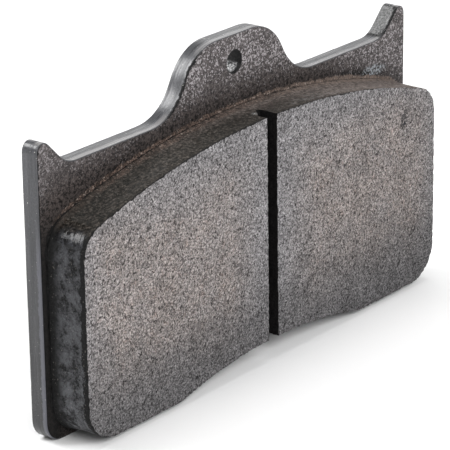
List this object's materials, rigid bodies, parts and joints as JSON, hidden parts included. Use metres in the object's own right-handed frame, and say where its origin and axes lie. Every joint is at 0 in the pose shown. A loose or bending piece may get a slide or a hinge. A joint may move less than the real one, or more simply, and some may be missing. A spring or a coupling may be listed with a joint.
{
  "type": "brake pad",
  "caption": "Brake pad for a fixed caliper: steel backing plate with two pointed ears and a tab with a pin hole, and a bonded friction block with a central slot and an arched lower edge.",
  "frame": {"origin": "middle of the pad's box at the height of the plate's lower edge", "axes": "+X along the pad, +Y from the friction face to the back of the plate, +Z from the lower edge to the tab, which points out of the caliper"},
  "size_m": [0.138, 0.0152, 0.0788],
  "materials": {
    "plate_paint": "thin dark coat on steel: satin on the cut edges, worn and grainy on the bond face",
    "cured_adhesive": "matt rust-brown cured film",
    "underlayer_compound": "matt dark brown moulded compound",
    "friction_compound": "matt grey granular compound with a ground face and moulded sides"
  },
  "bodies": {
    "root": {"backing_plate": "plate_paint", "adhesive_layer": "cured_adhesive", "underlayer": "underlayer_compound", "friction_block": "friction_compound"}
  },
  "joints": []
}
